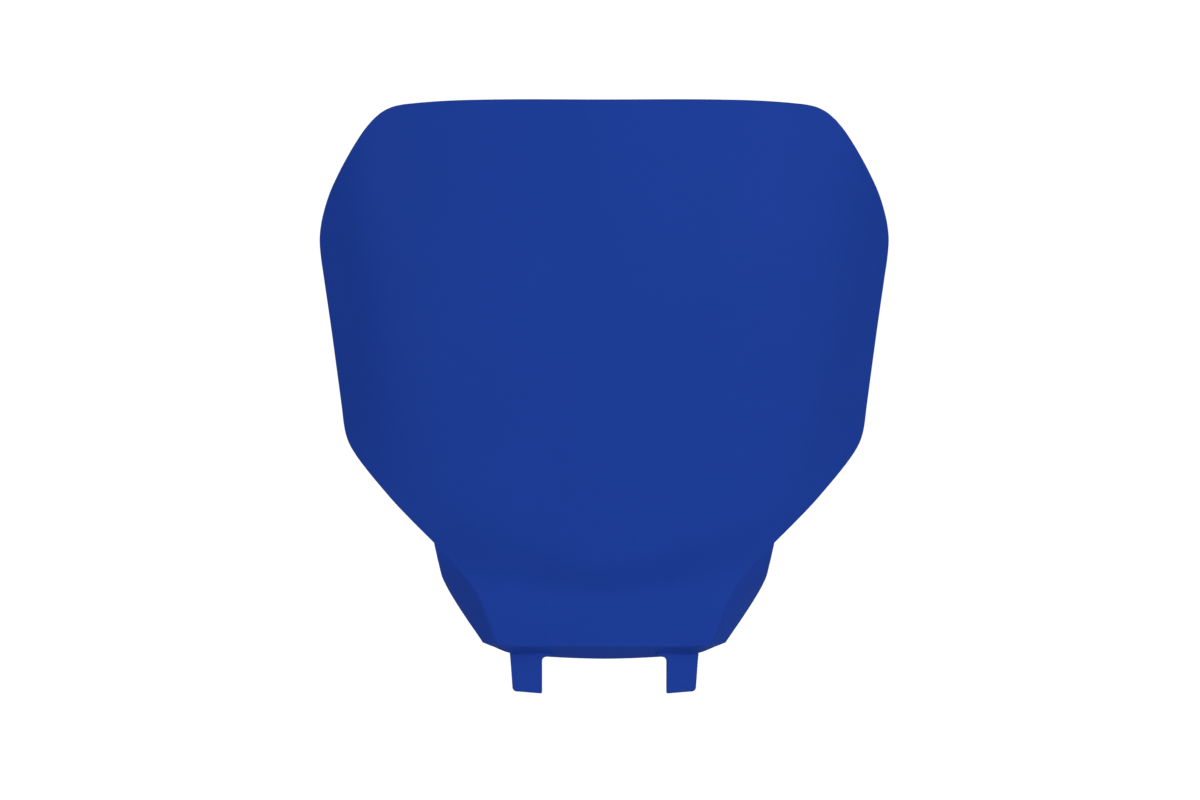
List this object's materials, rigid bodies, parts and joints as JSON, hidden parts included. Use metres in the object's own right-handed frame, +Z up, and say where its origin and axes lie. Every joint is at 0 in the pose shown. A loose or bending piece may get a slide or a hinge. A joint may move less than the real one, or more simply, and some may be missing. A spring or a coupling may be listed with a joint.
{
  "type": "motocross front number board",
  "caption": "Curved one-piece moulded plastic front number board for an off-road motorbike, with a tucked neck, lower lugs and a rear tongue for its top screw.",
  "frame": {"origin": "centre of the top screw's hole, halfway up its boss", "axes": "+Z up along the top screw and along the board's height; the board's front faces -Y and its open back faces +Y; X runs across the board"},
  "size_m": [0.241, 0.056, 0.2506],
  "materials": {
    "board": "satin injection-moulded polypropylene, deep blue"
  },
  "bodies": {
    "root": {"number_board": "board"}
  },
  "joints": []
}
